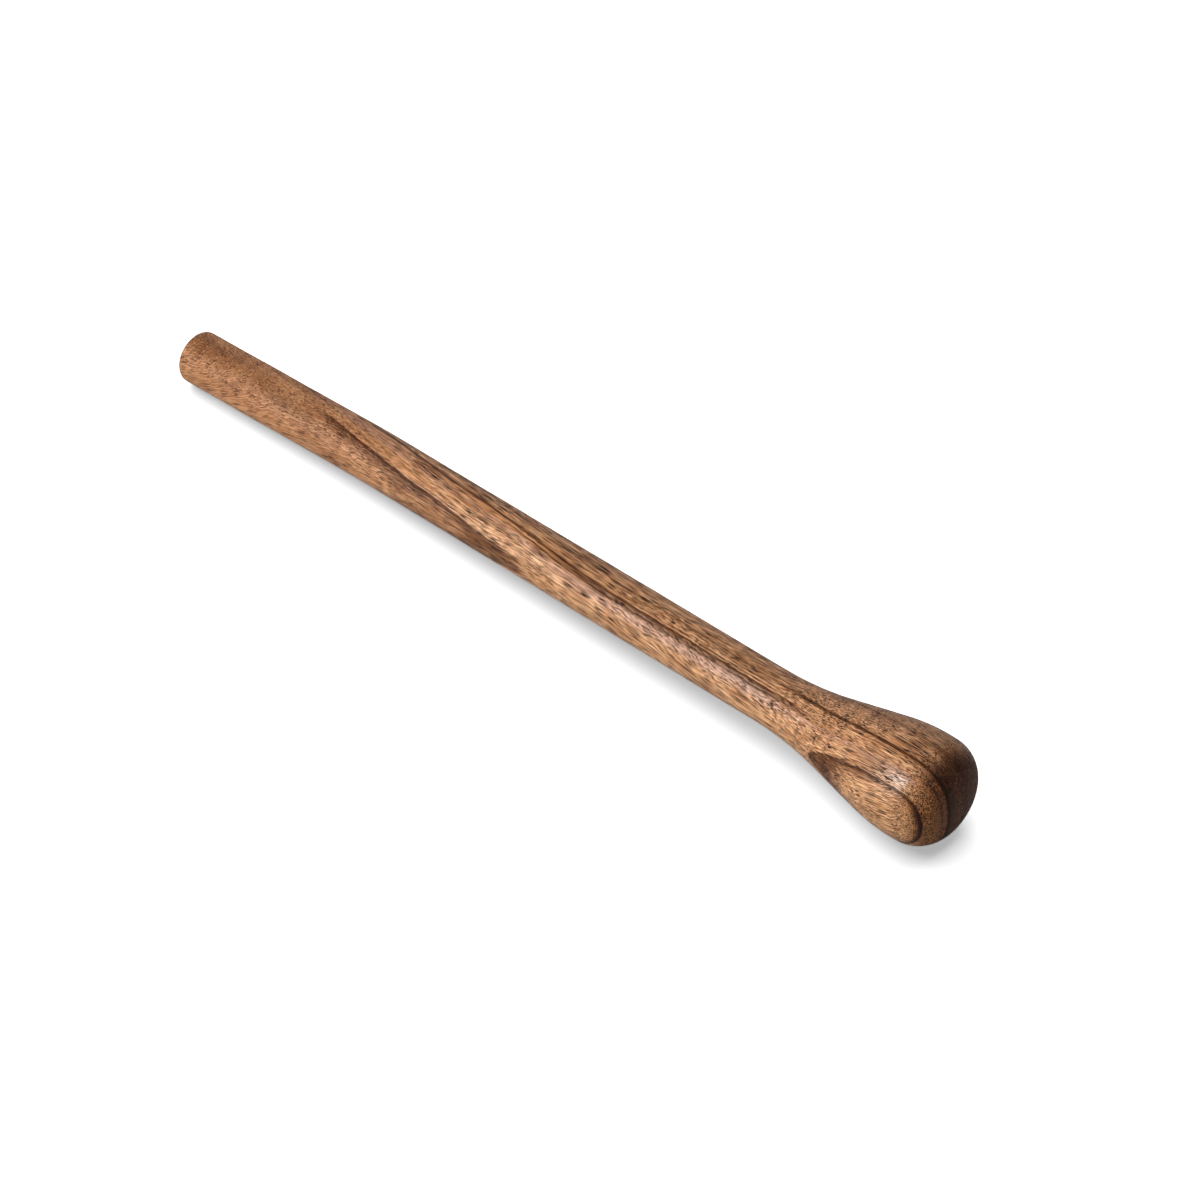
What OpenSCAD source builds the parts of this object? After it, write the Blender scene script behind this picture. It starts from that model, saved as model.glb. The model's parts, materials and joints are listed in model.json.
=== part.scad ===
// One-piece turned wooden mallet, in millimetres.
// It lies on the plane Z = 0 as it comes to rest there: the round head touches with its belly
// and the handle with the edge of its butt, so the turning axis climbs a little towards the head.
// +X runs from the butt to the head, +Z is up, and the origin is under the middle of the mallet.

/* [Overall] */
// Length from the butt face to the tip of the head, along the turning axis
overall_length = 355; // [310:1:400]

/* [Handle] */
// Diameter of the handle
handle_d = 20; // [18:0.5:22]
// Straight stretch of the handle at the butt, from the butt face to the bend
butt_length = 80; // [60:1:100]
// Length of the gentle bend that joins the butt stretch to the rest of the handle
bend_length = 20; // [10:1:30]
// Angle that the bend turns the butt stretch sideways, in degrees
bend_angle = 1.8; // [0.6:0.1:3]
// Radius that rounds the edge of the butt
butt_edge_r = 2.5; // [1:0.5:4]

/* [Neck] */
// Radius of the hollow curve where the handle runs out into the head
neck_r = 135; // [90:1:150]
// Slope of the straight flare between neck and head, in degrees
flare_angle = 12.2; // [11:0.2:14]

/* [Head] */
// Largest diameter of the head
head_d = 38.4; // [36:0.2:44]
// Radius of the long curve over the head's belly
belly_r = 70; // [50:1:80]
// Slope at which the belly hands over to the shoulder, in degrees
shoulder_slope = 3; // [1:0.5:5]
// Radius that rounds the shoulder between belly and end
shoulder_r = 12.5; // [8:0.5:14]
// Radius of the shallow dome at the end of the head
dome_r = 43; // [35:1:80]

/* [Hidden] */
$fn = 180;

handle_r = handle_d / 2;
head_r = head_d / 2;

// Outline of the head, as [distance from the axis, distance from the butt face].
// The curves meet at a shared tangent, and each tangent point is named after the two that it joins.
shoulder_c_r = head_r - belly_r + (belly_r - shoulder_r) * cos(shoulder_slope);
dome_c = [0, overall_length - dome_r];
shoulder_c = [
    shoulder_c_r,
    dome_c.y + sqrt(pow(dome_r - shoulder_r, 2) - pow(shoulder_c_r, 2))
];
belly_c = [
    head_r - belly_r,
    shoulder_c.y - (belly_r - shoulder_r) * sin(shoulder_slope)
];
dome_dir = (shoulder_c - dome_c) / norm(shoulder_c - dome_c);
tip = [0, overall_length];
shoulder_to_dome = dome_c + dome_r * dome_dir;
belly_to_shoulder = belly_c + belly_r * [cos(shoulder_slope), sin(shoulder_slope)];
flare_to_belly = belly_c + belly_r * [cos(flare_angle), -sin(flare_angle)];
flare_rise = flare_to_belly.x - handle_r - neck_r * (1 - cos(flare_angle));
neck_to_flare = flare_to_belly - flare_rise * [1, 1 / tan(flare_angle)];
neck_c = neck_to_flare + neck_r * [cos(flare_angle), -sin(flare_angle)];
handle_to_neck = [handle_r, neck_c.y];

// The bend is an arc in the plane of X and Y, and its centre is on the -Y side.
bend_end = butt_length + bend_length;
bend_r = bend_length * 180 / (PI * bend_angle);
bend_start = [bend_end - bend_r * sin(bend_angle), bend_r * (cos(bend_angle) - 1)];
butt_dir = [cos(bend_angle), sin(bend_angle)];

// Rest: the axis climbs by the angle at which the butt's rounded edge and the belly touch one plane.
butt_edge_c = [handle_r - butt_edge_r, butt_edge_r];
butt_edge_x = bend_start.x - (butt_length - butt_edge_r) * cos(bend_angle);
rest_run = belly_c.y - butt_edge_x;
rest_rise = butt_edge_c.x - belly_c.x;
rest_slope = asin((belly_r - butt_edge_r) / norm([rest_run, rest_rise])) - atan2(rest_rise, rest_run);
rest_lift = butt_edge_r + butt_edge_c.x * cos(rest_slope) - butt_edge_x * sin(rest_slope);

// The middle of the mallet's length on the plane, from its furthest points each way.
front_x = dome_c.y * cos(rest_slope) + dome_r;
butt_lean = acos(cos(rest_slope) * cos(bend_angle));
back_x = butt_edge_x * cos(rest_slope) - butt_edge_c.x * sin(butt_lean) - butt_edge_r;
middle_x = (front_x + back_x) / 2;

// The sliver between a chord and its arc, on the side away from the arc's centre
module arc_cap(centre, radius, start, end) {
    reach = 1.5;
    intersection() {
        translate(centre)
            circle(r = radius, $fn = 720);
        polygon([start, centre + reach * (start - centre), centre + reach * (end - centre), end]);
    }
}

// Half outline of the straight handle, the neck and the head, beyond the bend
module head_outline() {
    difference() {
        union() {
            polygon([
                [0, bend_end],
                [handle_r, bend_end],
                handle_to_neck,
                neck_to_flare,
                flare_to_belly,
                belly_to_shoulder,
                shoulder_to_dome,
                tip
            ]);
            arc_cap(belly_c, belly_r, flare_to_belly, belly_to_shoulder);
            arc_cap(shoulder_c, shoulder_r, belly_to_shoulder, shoulder_to_dome);
            arc_cap(dome_c, dome_r, shoulder_to_dome, tip);
        }
        arc_cap(neck_c, neck_r, handle_to_neck, neck_to_flare);
    }
}

// Half outline of the straight stretch at the butt, with its rounded edge
module butt_outline() {
    face_edge = [butt_edge_c.x, 0];
    side_edge = [handle_r, butt_edge_r];
    polygon([[0, 0], face_edge, side_edge, [handle_r, butt_length], [0, butt_length]]);
    arc_cap(butt_edge_c, butt_edge_r, face_edge, side_edge);
}

// The head and the handle as far as the bend, with the turning axis along +X
module head_and_handle() {
    rotate([0, 90, 0])
        rotate_extrude()
            head_outline();
}

// The arc of round handle that turns the butt aside
module bend() {
    translate([bend_end, -bend_r, 0])
        rotate([0, 0, 90])
            rotate_extrude(angle = bend_angle)
                translate([bend_r, 0])
                    circle(r = handle_r);
}

// The butt stretch, turned to meet the bend
module butt() {
    translate([bend_start.x, bend_start.y, 0])
        rotate([0, 0, bend_angle])
            translate([-butt_length, 0, 0])
                rotate([0, 90, 0])
                    rotate_extrude()
                        butt_outline();
}

// The whole mallet is one blank: its head, neck and handle are turned from the same wood.
module turned_mallet() {
    color("peru")
        translate([-middle_x, 0, rest_lift])
            rotate([0, -rest_slope, 0]) {
                head_and_handle();
                bend();
                butt();
            }
}

turned_mallet();
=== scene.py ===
import json
import math
from typing import NamedTuple

import bpy
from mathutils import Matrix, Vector, noise


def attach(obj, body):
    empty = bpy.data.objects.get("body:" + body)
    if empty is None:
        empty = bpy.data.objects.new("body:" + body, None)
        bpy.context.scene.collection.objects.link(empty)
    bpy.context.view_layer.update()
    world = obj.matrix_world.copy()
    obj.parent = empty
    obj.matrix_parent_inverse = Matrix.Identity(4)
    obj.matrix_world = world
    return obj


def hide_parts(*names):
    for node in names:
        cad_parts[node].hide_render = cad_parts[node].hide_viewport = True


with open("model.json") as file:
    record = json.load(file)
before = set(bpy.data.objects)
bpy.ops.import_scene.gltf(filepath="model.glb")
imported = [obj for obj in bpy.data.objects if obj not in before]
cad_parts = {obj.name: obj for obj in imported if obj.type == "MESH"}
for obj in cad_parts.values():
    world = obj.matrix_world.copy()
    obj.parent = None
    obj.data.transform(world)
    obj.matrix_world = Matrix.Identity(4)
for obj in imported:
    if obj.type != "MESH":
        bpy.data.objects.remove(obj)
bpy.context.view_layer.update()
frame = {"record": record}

# One-piece turned wooden mallet. The CAD node holds its shape, and this script gives the same
# shape a finer skin and the wood that it was turned from. Everything is in metres, and the
# turned outline and the grain are worked out in millimetres along the turning axis.

MM = 0.001
NODE = "turned_mallet"
MOUNTS = {mount["name"]: mount for mount in frame["record"]["mounts"]}

# ---------------------------------------------------------------- outline, as in part.scad

OVERALL_LENGTH = 355.0
BEND_LENGTH = 20.0
BUTT_EDGE_R = 2.5
NECK_R = 135.0
FLARE_ANGLE = math.radians(12.2)
HEAD_R = 19.2
BELLY_R = 70.0
SHOULDER_SLOPE = math.radians(3.0)
SHOULDER_R = 12.5
DOME_R = 43.0
HANDLE_R = MOUNTS["grip_end"]["dims"]["r_mm"]
BUTT_LENGTH = MOUNTS["grip_end"]["dims"]["length_mm"] + BUTT_EDGE_R

RING_STEP = 0.55        # distance between rings of vertices, in millimetres
ROUND = 128             # vertices in a ring


def arc(centre, radius, start, end):
    """Points on an arc from one angle to another, the angles measured from the turning axis."""
    count = max(3, math.ceil(abs(end - start) * radius / RING_STEP))
    angles = [start + (end - start) * i / count for i in range(count + 1)]
    return [(centre[0] + radius * math.cos(a), centre[1] + radius * math.sin(a)) for a in angles]


def line(start, end):
    """Points on a straight line."""
    count = max(2, math.ceil(math.dist(start, end) / RING_STEP))
    steps = [i / count for i in range(count + 1)]
    return [tuple(a + (b - a) * k for a, b in zip(start, end)) for k in steps]


def outline():
    """The turned outline from the middle of the butt to the tip: (along, radius) pairs."""
    up = math.pi / 2
    shoulder_out = HEAD_R - BELLY_R + (BELLY_R - SHOULDER_R) * math.cos(SHOULDER_SLOPE)
    dome = (OVERALL_LENGTH - DOME_R, 0.0)
    shoulder = (dome[0] + math.sqrt((DOME_R - SHOULDER_R) ** 2 - shoulder_out ** 2), shoulder_out)
    belly = (shoulder[0] - (BELLY_R - SHOULDER_R) * math.sin(SHOULDER_SLOPE), HEAD_R - BELLY_R)
    dome_turn = math.atan2(shoulder_out, shoulder[0] - dome[0])
    flare_end = (belly[0] - BELLY_R * math.sin(FLARE_ANGLE), belly[1] + BELLY_R * math.cos(FLARE_ANGLE))
    rise = flare_end[1] - HANDLE_R - NECK_R * (1 - math.cos(FLARE_ANGLE))
    flare_start = (flare_end[0] - rise / math.tan(FLARE_ANGLE), flare_end[1] - rise)
    neck = (flare_start[0] - NECK_R * math.sin(FLARE_ANGLE), HANDLE_R + NECK_R)
    edge = (BUTT_EDGE_R, HANDLE_R - BUTT_EDGE_R)
    stretches = [
        line((0.0, 0.0), (0.0, edge[1])),
        arc(edge, BUTT_EDGE_R, math.pi, up),
        line((BUTT_EDGE_R, HANDLE_R), (neck[0], HANDLE_R)),
        arc(neck, NECK_R, -up, -up + FLARE_ANGLE),
        line(flare_start, flare_end),
        arc(belly, BELLY_R, up + FLARE_ANGLE, up - SHOULDER_SLOPE),
        arc(shoulder, SHOULDER_R, up - SHOULDER_SLOPE, dome_turn),
        arc(dome, DOME_R, dome_turn, 0.0),
    ]
    points = [stretches[0][0]]
    for stretch in stretches:
        points += stretch[1:]
    return points


class Spine:
    """The turning axis in space: a straight butt stretch, a gentle bend and the rest."""

    def __init__(self):
        butt = MOUNTS["butt_face"]
        into = -Vector(butt["axis"]).normalized()
        self.along = Vector((into.x, 0.0, into.z)).normalized()
        self.side = Vector((0.0, -1.0, 0.0))
        self.up = self.side.cross(self.along)
        self.turn = math.asin(into.y)
        self.bend_r = BEND_LENGTH / self.turn
        self.bend_end = BUTT_LENGTH + BEND_LENGTH
        butt_middle = Vector(butt["pos_m"]) / MM
        back, aside = self.offset(0.0)
        self.start = butt_middle - self.along * back - self.side * aside

    def offset(self, s):
        """How far along and aside the axis is at distance s from the butt."""
        if s >= self.bend_end:
            return s, 0.0
        turned = min((self.bend_end - s) / self.bend_r, self.turn)
        beyond = max(BUTT_LENGTH - s, 0.0)
        along = self.bend_end - self.bend_r * math.sin(turned) - beyond * math.cos(turned)
        aside = self.bend_r * (1 - math.cos(turned)) + beyond * math.sin(turned)
        return along, aside

    def place(self, s):
        """Centre of the ring at s, and the directions up and towards the near side in it."""
        along, aside = self.offset(s)
        turned = min(max((self.bend_end - s) / self.bend_r, 0.0), self.turn)
        near = self.side * math.cos(turned) + self.along * math.sin(turned)
        return self.start + self.along * along + self.side * aside, self.up, near


# ---------------------------------------------------------------- grain of the blank

# The growth rings are nearly flat sheets that stand upright along the mallet and face its near
# side. How far a sheet has moved towards that side, in millimetres, along the mallet:
SHEET_DRIFT = [(0, -18.4), (65, -11.6), (95, -7.6), (120, -5.25), (140, -3.9), (167, -2.3),
               (195, 0.0), (230, 0.5), (285, 0.9), (310, 2.3), (335, 3.3), (360, 3.4)]
# How far a fibre has climbed: steeply at the butt, and nearly level from the bend onwards.
FIBRE_CLIMB = [(0, -24), (40, -8), (80, 0), (110, 1.5), (200, 0), (280, -4), (360, -4)]
# How much further the fibres have climbed, per millimetre towards the near side: more up to the
# middle of the handle, then less down to the neck, and none again at the tip.
FIBRE_TILT = [(0, 0), (140, 0.4), (195, 0.5), (285, -0.6), (350, 0), (360, 0)]
SHEET_R = 80.0          # radius of the rings, whose heart lies beyond the near side
RING_STATION = 200.0    # where the rings have their true spacing
PINCH_LENGTH = 100.0    # over this length towards the head
RING_PINCH = 0.21       # the rings come this much closer together
RING_SHIFT = 1.6        # and the reference ring moves this far
FIBRE_STEP = 1.0        # half the length over which the direction of a fibre is taken


def glide(points, s):
    """Smooth curve through a few points."""
    last = len(points) - 2
    i = next((k for k in range(last) if s < points[k + 1][0]), last)

    def slope(k):
        a, b = points[max(k - 1, 0)], points[min(k + 1, len(points) - 1)]
        return (b[1] - a[1]) / (b[0] - a[0])

    (s0, v0), (s1, v1) = points[i], points[i + 1]
    width = s1 - s0
    t = (s - s0) / width
    return (v0 * (1 + 2 * t) * (1 - t) ** 2 + v1 * t * t * (3 - 2 * t)
            + slope(i) * width * t * (1 - t) ** 2 + slope(i + 1) * width * t * t * (t - 1))


def grain_at(s, near, up):
    """Grain coordinates in millimetres: along the fibre, across the rings, and within a ring."""
    ring = near - up * up / (2 * SHEET_R) - glide(SHEET_DRIFT, s)
    station = (s - RING_STATION) / PINCH_LENGTH
    ring -= station * (RING_SHIFT - RING_PINCH * ring)
    within = up - glide(FIBRE_CLIMB, s) - glide(FIBRE_TILT, s) * near
    return s, ring, within


def steepness(points, s):
    """How steep the smooth curve through the points is at s."""
    return (glide(points, s + FIBRE_STEP) - glide(points, s - FIBRE_STEP)) / (2 * FIBRE_STEP)


def fibre_at(s, near, up):
    """Direction of the fibre: along, towards the near side, up."""
    climb = steepness(FIBRE_CLIMB, s) + steepness(FIBRE_TILT, s) * near
    return Vector((1.0, steepness(SHEET_DRIFT, s), climb)).normalized()


# ---------------------------------------------------------------- skin

TOOL_WAVE = 0.07        # height of the waves that a hand-held gouge leaves, in millimetres
WAVE_LENGTH = 17.0
WAVE_LINE = 0.5         # the waves follow the noise along a line off its grid, where it is 0
OUT_OF_ROUND = 0.05     # how far the sanded wood is out of round, in millimetres
LUMP_LENGTH = 30.0
LUMP_TURN = 1.5         # how quickly the lumps change round the mallet
LUMP_START = 7.0        # keeps the lumps away from the waves in the same noise


def unevenness(s, angle, radius):
    """What hand turning and sanding leave, as a small change of radius."""
    wave = noise.noise(Vector((s / WAVE_LENGTH, WAVE_LINE, WAVE_LINE)))
    across, upwards = math.cos(angle) * LUMP_TURN, math.sin(angle) * LUMP_TURN
    lump = noise.noise(Vector((s / LUMP_LENGTH, across, upwards + LUMP_START)))
    fade = min(radius / HANDLE_R, 1.0)
    return (TOOL_WAVE * wave + OUT_OF_ROUND * lump) * fade


class Skin:
    """The mallet's surface as rings of vertices, with what the wood needs on each vertex."""

    def __init__(self):
        self.spine = Spine()
        self.verts, self.grains, self.ends = [], [], []
        points = outline()
        self.rings = len(points) - 2
        self.add(*points[0], 0.0, (-1.0, 0.0))
        for before, (s, r), after in zip(points, points[1:-1], points[2:]):
            step_s, step_r = after[0] - before[0], after[1] - before[1]
            size = math.hypot(step_s, step_r)
            for k in range(ROUND):
                self.add(s, r, 2 * math.pi * k / ROUND, (-step_r / size, step_s / size))
        self.add(*points[-1], 0.0, (1.0, 0.0))

    def add(self, s, r, angle, facing):
        """Add a vertex: its place, its grain and how squarely the fibres are cut there."""
        centre, up, near = self.spine.place(s)
        out = up * math.cos(angle) + near * math.sin(angle)
        self.verts.append((centre + out * (r + unevenness(s, angle, r))) * MM)
        near_mm, up_mm = r * math.sin(angle), r * math.cos(angle)
        self.grains.append(grain_at(s, near_mm, up_mm))
        normal = Vector((facing[0], facing[1] * math.sin(angle), facing[1] * math.cos(angle)))
        self.ends.append(abs(normal.dot(fibre_at(s, near_mm, up_mm))))

    def faces(self):
        """Triangles at both ends, and four-sided faces between the rings."""
        faces = []
        for k in range(ROUND):
            beside = (k + 1) % ROUND
            faces.append((0, 1 + k, 1 + beside))
            for j in range(self.rings - 1):
                low, high = 1 + j * ROUND, 1 + (j + 1) * ROUND
                faces.append((low + k, high + k, high + beside, low + beside))
            top = 1 + (self.rings - 1) * ROUND
            faces.append((top + beside, top + k, len(self.verts) - 1))
        return faces


def add_object(name, data):
    """Put a new object in the scene."""
    thing = bpy.data.objects.new(name, data)
    bpy.context.scene.collection.objects.link(thing)
    return thing


def turned_skin():
    """The mallet as one smooth mesh that carries its grain."""
    skin = Skin()
    mesh = bpy.data.meshes.new("turned_wood")
    mesh.from_pydata(skin.verts, [], skin.faces())
    mesh.validate()
    grain = mesh.attributes.new("grain", "FLOAT_VECTOR", "POINT")
    grain.data.foreach_set("vector", [c for place in skin.grains for c in place])
    end = mesh.attributes.new("end_grain", "FLOAT", "POINT")
    end.data.foreach_set("value", skin.ends)
    mesh.polygons.foreach_set("use_smooth", [True] * len(mesh.polygons))
    mesh.update()
    return add_object("turned_wood", mesh)


# ---------------------------------------------------------------- wood

def srgb(red, green, blue):
    """A colour as a screen shows it, 0 to 255, as the linear colour that shaders take."""
    def linear(c):
        c /= 255
        return c / 12.92 if c <= 0.04045 else ((c + 0.055) / 1.055) ** 2.4
    return linear(red), linear(green), linear(blue), 1.0


TAN = srgb(197, 139, 94)
BROWN = srgb(172, 119, 77)
SOFT_BROWN = srgb(202, 144, 99)
GOLD = srgb(212, 154, 106)
ROSE = srgb(194, 141, 108)
RING_LINE = srgb(90, 48, 16)
UMBER = srgb(116, 72, 42)
PORE = srgb(36, 17, 8)
# multiplies the colour of the grip, darkest towards the butt
GRIP_TONE = srgb(226, 216, 210)
OILED_DARK = srgb(100, 56, 34)
OILED_LINE = srgb(66, 31, 14)
OILED_BROWN = srgb(118, 66, 35)
OILED_TAN = srgb(160, 100, 58)
OILED_GOLD = srgb(188, 122, 71)

# Ground colour from ring to ring: (ring coordinate in millimetres, colour)
GROUND = [
    (-24.0, BROWN), (-12.0, BROWN), (-9.0, SOFT_BROWN), (-7.0, SOFT_BROWN), (-4.5, TAN),
    (-2.0, TAN), (1.0, SOFT_BROWN), (2.8, GOLD), (4.0, SOFT_BROWN), (5.9, SOFT_BROWN), (6.8, ROSE),
    (8.6, GOLD), (10.9, GOLD), (13.0, TAN), (15.0, GOLD), (24.0, GOLD), (30.0, TAN),
]
# The same where the fibres are cut across, which drink far more oil
END_GROUND = [
    (-24.0, OILED_DARK), (-10.5, OILED_DARK), (-8.0, OILED_BROWN), (-5.0, OILED_DARK),
    (-1.9, OILED_LINE), (-0.4, OILED_LINE), (0.6, OILED_TAN), (2.2, OILED_TAN), (2.9, OILED_DARK),
    (3.7, OILED_TAN), (6.0, OILED_GOLD), (11.5, OILED_GOLD), (12.0, OILED_LINE),
    (13.3, OILED_LINE), (14.3, OILED_GOLD), (30.0, OILED_GOLD),
]

# Dark late wood. Each ring has: where it begins and how sharply, where it ends and how
# softly, in millimetres across the rings. Then between which places along the mallet it is
# strong, over how long it fades in and out there, and how strong it is.
LATE_WOOD = [
    ((-1.2, 0.3), (0.4, 1.0), (135, 40, 306, 20), 0.55),
    ((-1.9, 0.3), (0.1, 0.8), (284, 16, 400, 20), 1.0),
    ((3.4, 0.25), (4.6, 0.5), (85, 25, 294, 25), 1.0),
    ((3.6, 0.4), (6.5, 1.5), (180, 25, 296, 30), 0.7),
    ((4.95, 0.2), (5.9, 0.5), (165, 25, 296, 20), 0.9),
    ((2.3, 0.25), (3.1, 0.4), (205, 20, 290, 20), 0.6),
    ((11.2, 0.3), (12.5, 0.7), (68, 14, 150, 20), 1.0),
    ((11.4, 0.5), (15.0, 3.0), (68, 16, 128, 20), 0.65),
    ((11.2, 0.3), (14.0, 2.0), (132, 20, 170, 8), 0.75),
    ((12.0, 3.0), (18.0, 3.0), (-50, 20, 70, 20), 0.35),
    ((11.8, 0.3), (13.2, 0.6), (285, 20, 400, 20), 1.0),
    ((12.2, 0.6), (15.8, 2.0), (290, 8, 318, 14), 0.9),
    ((12.3, 0.5), (14.2, 1.6), (312, 20, 350, 8), 0.5),
    ((-13.6, 0.6), (-11.0, 1.6), (285, 30, 400, 20), 0.4),
]


# How strongly red, green and blue follow a shade; the paleness this gives light fibres is partly
# painted sheen
SHADE_POWER = (0.8, 1.12, 1.45)


class Variation(NamedTuple):
    """Something in the wood that varies from place to place without a rule."""
    size: tuple                 # of its lumps: along, across and within the rings, in millimetres
    gives: tuple                # lowest and highest value
    span: tuple = (0.3, 0.7)    # stretch of the noise that is spread over those values
    detail: float = 2.0         # smaller lumps on the lumps: how many times over
    roughness: float = 0.5      # and how strong they are
    smooth: bool = False        # whether the values ease in and out at the ends of the stretch


# Shift of the ring lines' edges in millimetres, and strength of the lines
FRAY = Variation((10, 0.5, 0.5), (-0.32, 0.32), (0, 1), 3.0, 0.6)
GAPS = Variation((8, 0.5, 0.5), (0.65, 1.2), (0.3, 0.6), roughness=0.6)
# Share of umber, in slow drifts of tone and in thin rings
TONE = Variation((40, 3.5, 5), (0.0, 0.45), (0.5, 0.8), smooth=True)
THIN_RINGS = Variation((40, 0.8, 5), (0.0, 0.38), (0.52, 0.75), roughness=0.6, smooth=True)
# Shade of coarse streaks and of single fibres, and broad patches of painted chatoyant sheen
STREAKS = Variation((22, 0.6, 0.55), (0.72, 1.29))
FIBRES = Variation((12, 0.36, 0.34), (0.4, 1.65), detail=1.0)
CHATOYANT_SHEEN = Variation((14, 6, 6), (0.89, 1.13), (0.35, 0.65))
# Added size of the pores, in cells, and roughness of the surface
CROWDING = Variation((22, 2.4, 2.4), (0.0, 0.1), (0.35, 0.65), detail=1.0)
POLISH = Variation((20, 3, 3), (0.3, 0.38), smooth=True)

# How the fibres wander: size of the waves, their detail, and how far they reach
WAVES = [((45, 14, 14), 1.0, (0, 1.4, 1.8)), ((16, 5, 5), 2.0, (0, 0.38, 0.6))]
MIDDLE = (0.5, 0.5, 0.5)    # of the noise that makes them

# What changes along the mallet: first and last place, and the value at each
TONED_GRIP = (70, 185, 1.0, 0.0)      # how strongly the grip is toned darker
STREAKS_SHOW = (40, 120, 0.6, 1.0)  # how strongly streaks and pores show
PORES_SHOW = (40, 130, 0.7, 1.0)
WEAR = (30, 110, 0.2, 0.0)          # added roughness of the grip

CUT_ACROSS = (0.2, 0.8)     # how squarely fibres are cut where end grain begins and is full
OIL_TAKEN = 0.92            # how far the colour of the oiled end grain replaces the ground

# Pores in three sizes: cell that holds one pore, shift of the cells, and darkness
VESSELS = [
    ((8.0, 0.34, 0.34), (0, 0, 0), 1.0),
    ((7.0, 0.31, 0.31), (3.1, 0.4, 0.7), 1.0),
    ((5.5, 0.27, 0.27), (1.7, 0.2, 0.1), 0.85),
]
PORE_SIZE = (-0.1, 0.44)    # smallest and largest, in cells: below zero the cell has none
PORE_EDGE = 0.1             # width of a pore's soft edge, in cells
PORE_RINGS = (-16, 4, 3, 1)     # rings with larger pores: begin, rise, end, fall
PORE_RINGS_CROWD = 0.05     # how much larger pores are there
END_CROWD = 0.1             # and in end grain

RELIEF = 0.08               # depth of a pore, in millimetres
RELIEF_STRENGTH = 0.6       # share of it that shows
FIBRE_RELIEF = 0.5          # height of the harder fibres, as a share of that depth
PORE_ROUGHNESS = 0.8
END_ROUGHNESS = 0.5
SIDE_SHINE = 0.29           # strength of the sheen
END_SHINE = 0.18
LATE_SHINE = 0.6            # share of it on the dark late wood


class Nodes:
    """Short ways to add nodes to a material or to the world."""

    def __init__(self, material):
        self.tree = material.node_tree

    def add(self, kind, **settings):
        node = self.tree.nodes.new(kind)
        for name, value in settings.items():
            setattr(node, name, value)
        return node

    def feed(self, socket, value):
        if isinstance(value, bpy.types.NodeSocket):
            self.tree.links.new(value, socket)
        elif value is not None:
            socket.default_value = value

    def attribute(self, name, output):
        return self.add("ShaderNodeAttribute", attribute_name=name).outputs[output]

    def math(self, operation, a, b, clamp=False):
        node = self.add("ShaderNodeMath", operation=operation, use_clamp=clamp)
        self.feed(node.inputs[0], a)
        self.feed(node.inputs[1], b)
        return node.outputs[0]

    def times(self, *values):
        product = values[0]
        for value in values[1:]:
            product = self.math("MULTIPLY", product, value)
        return product

    def vector(self, operation, a, b=None):
        node = self.add("ShaderNodeVectorMath", operation=operation)
        self.feed(node.inputs[0], a)
        self.feed(node.inputs[1], b)
        return node.outputs["Value" if operation == "LENGTH" else "Vector"]

    def split(self, vector):
        node = self.add("ShaderNodeSeparateXYZ")
        self.feed(node.inputs[0], vector)
        return node.outputs

    def noise(self, place, size, detail=2.0, roughness=0.5, output="Fac"):
        """Noise whose lumps are about size millimetres along, across and within the rings."""
        scaled = self.vector("DIVIDE", place, size)
        node = self.add("ShaderNodeTexNoise", noise_dimensions="3D")
        self.feed(node.inputs["Vector"], scaled)
        self.feed(node.inputs["Scale"], 1.0)
        self.feed(node.inputs["Detail"], detail)
        self.feed(node.inputs["Roughness"], roughness)
        return node.outputs[output]

    def remap(self, value, low, high, to_low=0.0, to_high=1.0, smooth=True):
        node = self.add("ShaderNodeMapRange")
        node.interpolation_type = "SMOOTHSTEP" if smooth else "LINEAR"
        self.feed(node.inputs["Value"], value)
        for name, number in zip(("From Min", "From Max", "To Min", "To Max"),
                                (low, high, to_low, to_high)):
            self.feed(node.inputs[name], number)
        return node.outputs[0]

    def vary(self, place, kind):
        """The value that one of the wood's variations has at a place."""
        lumps = self.noise(place, kind.size, kind.detail, kind.roughness)
        return self.remap(lumps, *kind.span, *kind.gives, smooth=kind.smooth)

    def mix_value(self, amount, a, b):
        node = self.add("ShaderNodeMix", data_type="FLOAT")
        for i, value in ((0, amount), (2, a), (3, b)):
            self.feed(node.inputs[i], value)
        return node.outputs[0]

    def mix(self, amount, a, b, blend="MIX"):
        node = self.add("ShaderNodeMix", data_type="RGBA", blend_type=blend)
        self.feed(node.inputs[0], amount)
        self.feed(node.inputs[6], a)
        self.feed(node.inputs[7], b)
        return node.outputs[2]

    def paler(self, shade):
        """A shade as a colour to multiply by: light fibres are paler, partly as painted sheen, and dark
        ones are redder.
        """
        node = self.add("ShaderNodeCombineColor")
        for i, power in enumerate(SHADE_POWER):
            self.feed(node.inputs[i], self.math("POWER", shade, power))
        return node.outputs[0]

    def ramp(self, value, stops):
        """Colours along a coordinate, which the stops give in the coordinate's own units."""
        low, high = stops[0][0], stops[-1][0]
        node = self.add("ShaderNodeValToRGB")
        elements = node.color_ramp.elements
        elements[0].position, elements[0].color = 0.0, stops[0][1]
        elements[1].position, elements[1].color = 1.0, stops[-1][1]
        for place, colour in stops[1:-1]:
            elements.new((place - low) / (high - low)).color = colour
        self.feed(node.inputs[0], self.remap(value, low, high, smooth=False))
        return node.outputs[0]


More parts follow.
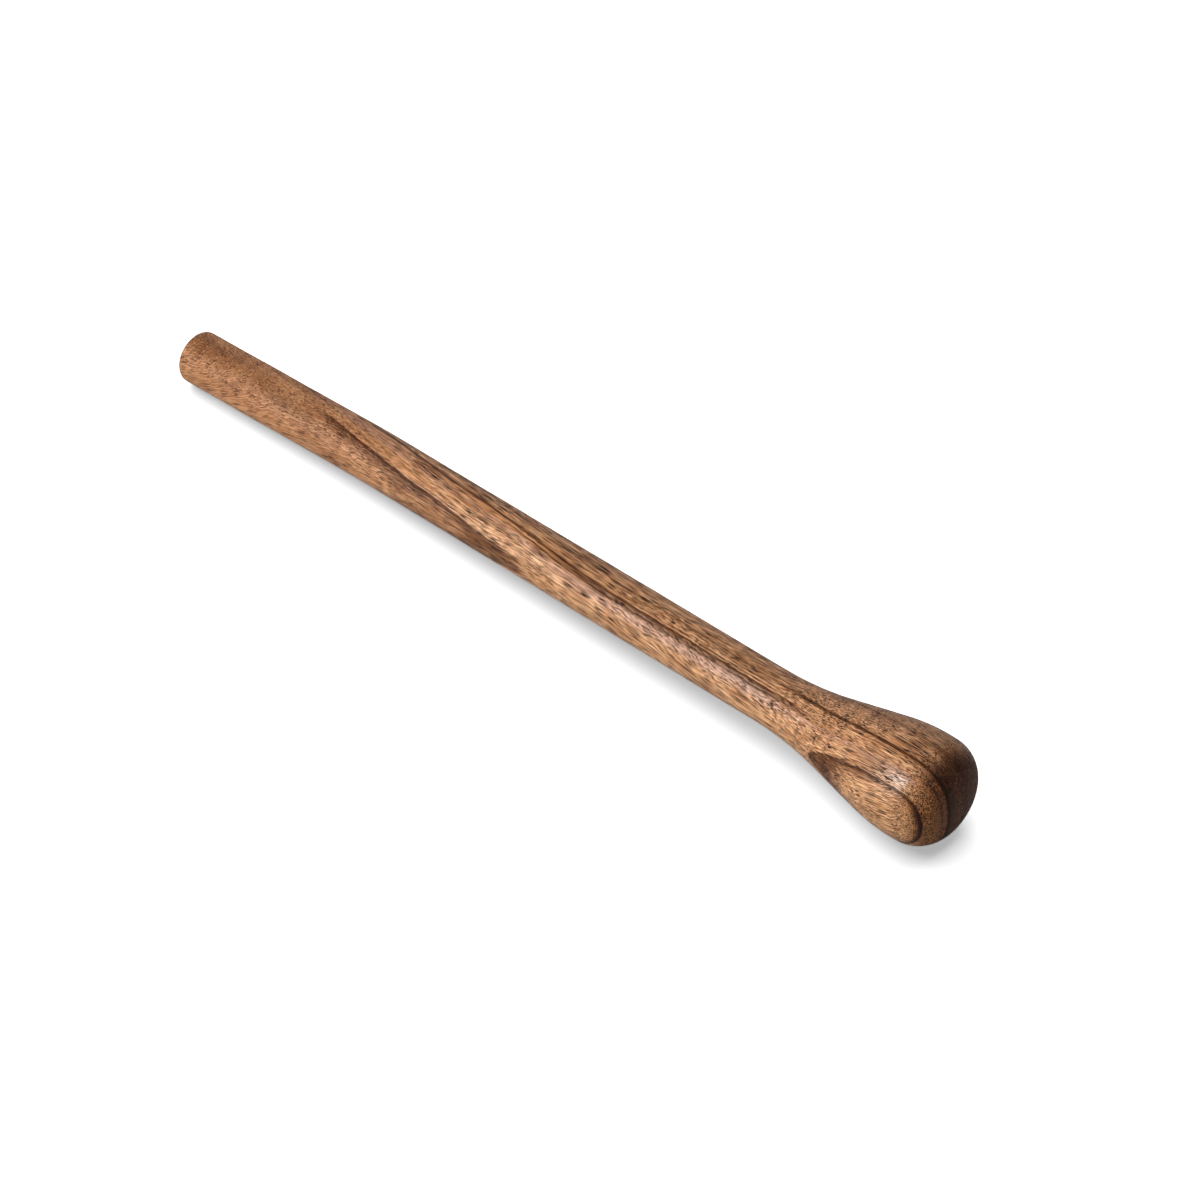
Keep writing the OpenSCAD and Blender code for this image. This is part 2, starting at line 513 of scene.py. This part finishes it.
def pore(n, place, crowd, cell, shift):
    """Cut vessels: 1 in a pore and 0 in solid wood. Each is a long thin spindle along the fibre."""
    moved = n.vector("ADD", place, shift)
    cells = n.add("ShaderNodeTexVoronoi", voronoi_dimensions="3D", feature="F1")
    n.feed(cells.inputs["Vector"], n.vector("DIVIDE", moved, cell))
    n.feed(cells.inputs["Scale"], 1.0)
    size = n.remap(n.split(cells.outputs["Color"])[0], 0.0, 1.0, *PORE_SIZE, smooth=False)
    edge = n.math("SUBTRACT", n.math("ADD", size, crowd), cells.outputs["Distance"])
    return n.remap(edge, 0.0, PORE_EDGE)


def between(n, value, begin, rise, end, fall):
    """1 from begin + rise to end - fall, and 0 outside begin and end."""
    up = n.remap(value, begin, begin + rise)
    down = n.remap(value, end - fall, end, 1.0, 0.0)
    return n.times(up, down)


def late_wood(n, along, ring):
    """How much of the dark late wood there is at a place."""
    dark = None
    for (begin, rise), (end, fall), (first, fade_in, last, fade_out), strength in LATE_WOOD:
        here = between(n, ring, begin, rise, end, fall)
        there = between(n, along, first - fade_in / 2, fade_in, last + fade_out / 2, fade_out)
        one = n.times(here, there, strength)
        dark = one if dark is None else n.math("MAXIMUM", dark, one)
    return dark


def wavy_grain(n, place):
    """Grain coordinates made wavy the way that fibres are."""
    wavy = place
    for size, detail, reach in WAVES:
        wave = n.noise(place, size, detail, output="Color")
        shift = n.vector("MULTIPLY", n.vector("SUBTRACT", wave, MIDDLE), reach)
        wavy = n.vector("ADD", wavy, shift)
    return wavy


def ring_colour(n, wavy, along, ring, dark, ends):
    """Colour from ring to ring, slow drifts of tone, oiled end grain and a darker grip."""
    colour = n.mix(dark, n.ramp(ring, GROUND), RING_LINE)
    for kind in (TONE, THIN_RINGS):
        colour = n.mix(n.vary(wavy, kind), colour, UMBER)
    colour = n.mix(n.times(ends, OIL_TAKEN), colour, n.ramp(ring, END_GROUND))
    return n.mix(n.remap(along, *TONED_GRIP), colour, n.mix(1.0, colour, GRIP_TONE, "MULTIPLY"))


def all_vessels(n, wavy, ring, ends):
    """Open pores in all sizes, which are larger in some rings and in end grain."""
    crowd = n.vary(wavy, CROWDING)
    crowd = n.math("ADD", crowd, n.times(between(n, ring, *PORE_RINGS), PORE_RINGS_CROWD))
    crowd = n.math("ADD", crowd, n.times(ends, END_CROWD))
    vessels = 0.0
    for cell, shift, darkness in VESSELS:
        vessels = n.math("MAXIMUM", vessels, n.times(pore(n, wavy, crowd, cell, shift), darkness))
    return vessels


def relief(n, fibres, vessels):
    """Pores are open, and the softer wood is worn a little."""
    bump = n.add("ShaderNodeBump")
    n.feed(bump.inputs["Height"], n.math("SUBTRACT", n.times(fibres, FIBRE_RELIEF), vessels))
    n.feed(bump.inputs["Distance"], RELIEF * MM)
    n.feed(bump.inputs["Strength"], RELIEF_STRENGTH)
    return bump.outputs[0]


def surface_roughness(n, wavy, along, vessels, ends):
    """Satin oil, dull in the pores and in end grain, and worn at the grip."""
    rough = n.math("MAXIMUM", n.vary(wavy, POLISH), n.times(vessels, PORE_ROUGHNESS))
    rough = n.math("ADD", rough, n.remap(along, *WEAR))
    return n.math("MAXIMUM", rough, n.times(ends, END_ROUGHNESS))


def new_material(name):
    """An empty material, and short ways to fill it."""
    material = bpy.data.materials.new(name)
    material.use_nodes = True
    material.node_tree.nodes.clear()
    return material, Nodes(material)


def oiled_wood():
    """The blank's wood as a solid material, worked out from the grain coordinates."""
    material, n = new_material("oiled_hardwood")
    place = n.attribute("grain", "Vector")
    ends = n.remap(n.attribute("end_grain", "Fac"), *CUT_ACROSS)
    wavy = wavy_grain(n, place)
    along, ring, _ = n.split(wavy)
    frayed = n.math("ADD", ring, n.vary(wavy, FRAY))
    dark = n.math("MULTIPLY", late_wood(n, along, frayed), n.vary(wavy, GAPS), clamp=True)
    fibres = n.noise(wavy, FIBRES.size, FIBRES.detail, FIBRES.roughness)
    vessels = all_vessels(n, wavy, ring, ends)

    colour = ring_colour(n, wavy, along, frayed, dark, ends)
    shade = n.remap(fibres, *FIBRES.span, *FIBRES.gives, smooth=FIBRES.smooth)
    shade = n.times(n.vary(wavy, STREAKS), shade)
    shade = n.mix_value(n.remap(along, *STREAKS_SHOW), 1.0, shade)
    # broad patches of painted sheen, standing for the wood's chatoyance
    shade = n.times(shade, n.vary(place, CHATOYANT_SHEEN))
    # light fibres turn paler here, partly a painted sheen on the fibres
    colour = n.mix(1.0, colour, n.paler(shade), "MULTIPLY")
    colour = n.mix(n.times(vessels, n.remap(along, *PORES_SHOW)), colour, PORE)
    shine = n.times(n.remap(ends, 0.0, 1.0, SIDE_SHINE, END_SHINE, smooth=False),
                    n.remap(dark, 0.0, 1.0, 1.0, LATE_SHINE, smooth=False))

    shader = n.add("ShaderNodeBsdfPrincipled")
    n.feed(shader.inputs["Base Color"], colour)
    n.feed(shader.inputs["Roughness"], surface_roughness(n, wavy, along, vessels, ends))
    n.feed(shader.inputs["Specular IOR Level"], shine)
    n.feed(shader.inputs["Normal"], relief(n, fibres, vessels))
    n.feed(n.add("ShaderNodeOutputMaterial").inputs["Surface"], shader.outputs[0])
    return material


# ---------------------------------------------------------------- studio

VIEW_AZIMUTH = math.radians(42.57)      # from square on to the near side, round to the head
VIEW_ELEVATION = math.radians(43.54)
VIEW_DISTANCE = 1.4
FOCAL_LENGTH = 3.41333                  # in widths of the frame
AIM = Vector((0.0211, -0.0003, 0.012))

# Softboxes: direction from the aim, distance and size in metres, and power in watts
KEY = ((-0.34, -0.8, 0.43), 1.06, (0.4, 1.0), 8.9)
SHEEN = ((-0.2, -0.77, 0.61), 1.0, (0.22, 0.22), 9.0)
TOP = ((-0.37, 0.0, 1.0), 3.0, (4.8, 4.8), 62.0)
BEHIND = ((-0.49, 0.7, 0.42), 2.0, (2.4, 1.2), 9.5)

WHITE = (1, 1, 1, 1)
ROOM = (0.11, 1.0)              # brightness of the room: to the mallet, and to the camera
TABLE = (1.05, 3.6)             # the same for the table, whose shadow a white over 1 keeps pale
TABLE_GLOW = (0.4, 1.5, 0.03, 1.2)  # its glow: near and far place, and strength at each
TABLE_SIZE = 60.0


def look(thing, at):
    thing.rotation_euler = (at - thing.location).to_track_quat("-Z", "Y").to_euler()


def camera():
    lens = bpy.data.cameras.new("view")
    lens.angle = 2 * math.atan(0.5 / FOCAL_LENGTH)
    thing = add_object("view", lens)
    flat = math.cos(VIEW_ELEVATION)
    sideways, nearer = math.sin(VIEW_AZIMUTH) * flat, -math.cos(VIEW_AZIMUTH) * flat
    thing.location = AIM + Vector((sideways, nearer, math.sin(VIEW_ELEVATION))) * VIEW_DISTANCE
    look(thing, AIM)
    bpy.context.scene.camera = thing


def softbox(name, direction, distance, size, power):
    light = bpy.data.lights.new(name, "AREA")
    light.shape = "RECTANGLE"
    light.size, light.size_y = size
    light.energy = power
    thing = add_object(name, light)
    thing.location = AIM + Vector(direction).normalized() * distance
    look(thing, AIM)
    return thing


def only_on(light, piece):
    """The light falls on this piece and not on the table, so that it throws no long shadow."""
    lit = bpy.data.collections.new(light.name + "_lights")
    lit.objects.link(piece)
    light.light_linking.receiver_collection = lit


def brighter_to_the_eye(n, socket, for_object, for_camera):
    """A backdrop that looks bright, and lights the mallet less than it would."""
    seen = n.add("ShaderNodeLightPath").outputs["Is Camera Ray"]
    n.feed(socket, n.mix_value(seen, for_object, for_camera))


def studio():
    """Lights and room. The sheen and behind lights show only in the sheen, and top never does."""
    key = softbox("key", *KEY)
    softbox("sheen", *SHEEN).visible_diffuse = False
    top = softbox("top", *TOP)
    top.visible_glossy = False
    top.data.cycles.use_multiple_importance_sampling = False
    softbox("behind", *BEHIND).visible_diffuse = False
    world = bpy.data.worlds.new("studio")
    world.use_nodes = True
    back = world.node_tree.nodes["Background"]
    back.inputs["Color"].default_value = WHITE
    brighter_to_the_eye(Nodes(world), back.inputs["Strength"], *ROOM)
    bpy.context.scene.world = world
    bpy.context.scene.view_settings.view_transform = "Standard"
    return key


def pale_floor():
    """A plain white light table. Its glow is seen and lights nothing, and keeps the edges white."""
    half = TABLE_SIZE / 2
    corners = [(-half, -half, 0), (half, -half, 0), (half, half, 0), (-half, half, 0)]
    mesh = bpy.data.meshes.new("floor")
    mesh.from_pydata(corners, [], [(0, 1, 2, 3)])
    material, n = new_material("white_table")
    white = n.add("ShaderNodeBsdfDiffuse")
    glow = n.add("ShaderNodeEmission")
    both = n.add("ShaderNodeAddShader")
    brighter_to_the_eye(n, white.inputs["Color"], *TABLE)
    away = n.vector("LENGTH", n.add("ShaderNodeNewGeometry").outputs["Position"])
    brighter_to_the_eye(n, glow.inputs["Strength"], 0.0, n.remap(away, *TABLE_GLOW))
    n.feed(both.inputs[0], white.outputs[0])
    n.feed(both.inputs[1], glow.outputs[0])
    n.feed(n.add("ShaderNodeOutputMaterial").inputs["Surface"], both.outputs[0])
    mesh.materials.append(material)
    add_object("floor", mesh)


# ---------------------------------------------------------------- scene

camera()
key_light = studio()
pale_floor()

mallet = turned_skin()
mallet.data.materials.append(oiled_wood())
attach(mallet, "root")
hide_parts(NODE)
only_on(key_light, mallet)
mallet.visible_diffuse = False      # no brown light thrown back on to the white table
